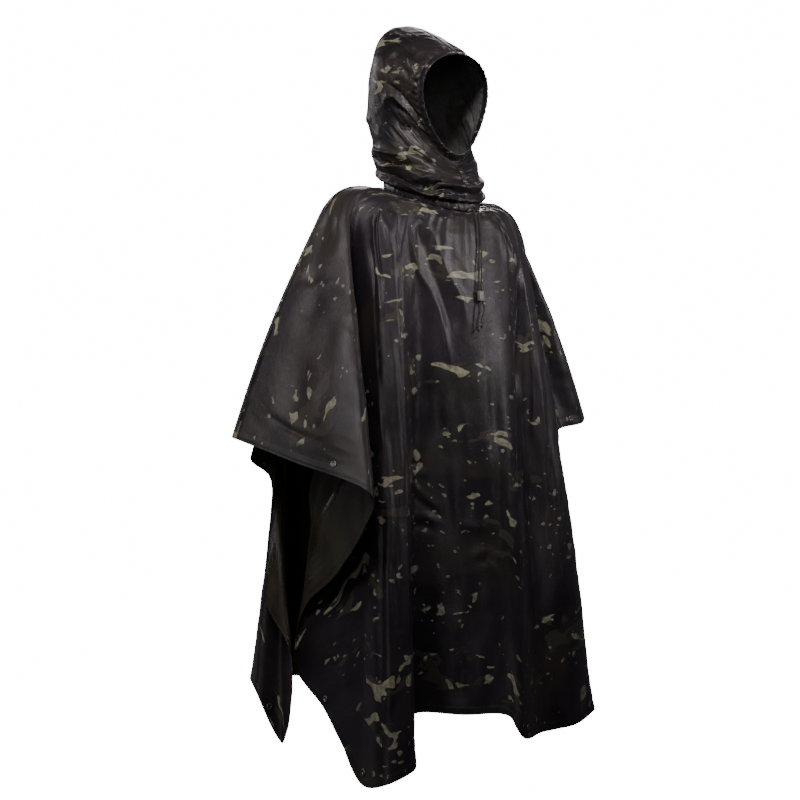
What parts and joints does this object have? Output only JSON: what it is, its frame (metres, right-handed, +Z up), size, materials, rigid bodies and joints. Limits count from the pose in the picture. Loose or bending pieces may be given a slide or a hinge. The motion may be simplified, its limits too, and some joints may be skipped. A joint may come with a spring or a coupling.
{
  "type": "rain poncho",
  "caption": "Hooded camouflage rain poncho in its worn pose, hollow and open below, with side flaps, gathered neck and face casings, a neck drawcord with a lock, snaps and eyelets.",
  "frame": {"origin": "middle of the neck at the height of the shoulders, where the wearer holds the garment up", "axes": "+Z up; the wearer faces -Y; +X is the wearer's left"},
  "size_m": [0.8874, 0.5655, 1.4081],
  "materials": {
    "cloth": "semi-gloss coated nylon with a camouflage print",
    "trim": "matte gathered nylon",
    "cord": "matte braided cord",
    "lock": "satin",
    "hardware": "blackened metal"
  },
  "bodies": {
    "root": {"body_back": "cloth", "body_front": "cloth", "cord_knot_left": "cord", "cord_knot_right": "cord", "cord_lock": "lock", "drawcord_left": "cord", "drawcord_right": "cord", "face_casing": "trim", "grommet_back_left": "hardware", "grommet_back_middle": "hardware", "grommet_back_right": "hardware", "grommet_front_left": "hardware", "grommet_front_middle": "hardware", "grommet_front_right": "hardware", "hood_left": "cloth", "hood_right": "cloth", "neck_casing": "trim", "snap_back_left_lower": "hardware", "snap_back_left_upper": "hardware", "snap_back_right_lower": "hardware", "snap_back_right_upper": "hardware", "snap_flap_left": "hardware", "snap_flap_right": "hardware", "snap_side_left_lower": "hardware", "snap_side_left_upper": "hardware", "snap_side_right_lower": "hardware", "snap_side_right_upper": "hardware", "snap_sleeve_left": "hardware", "snap_sleeve_right": "hardware"}
  },
  "joints": []
}
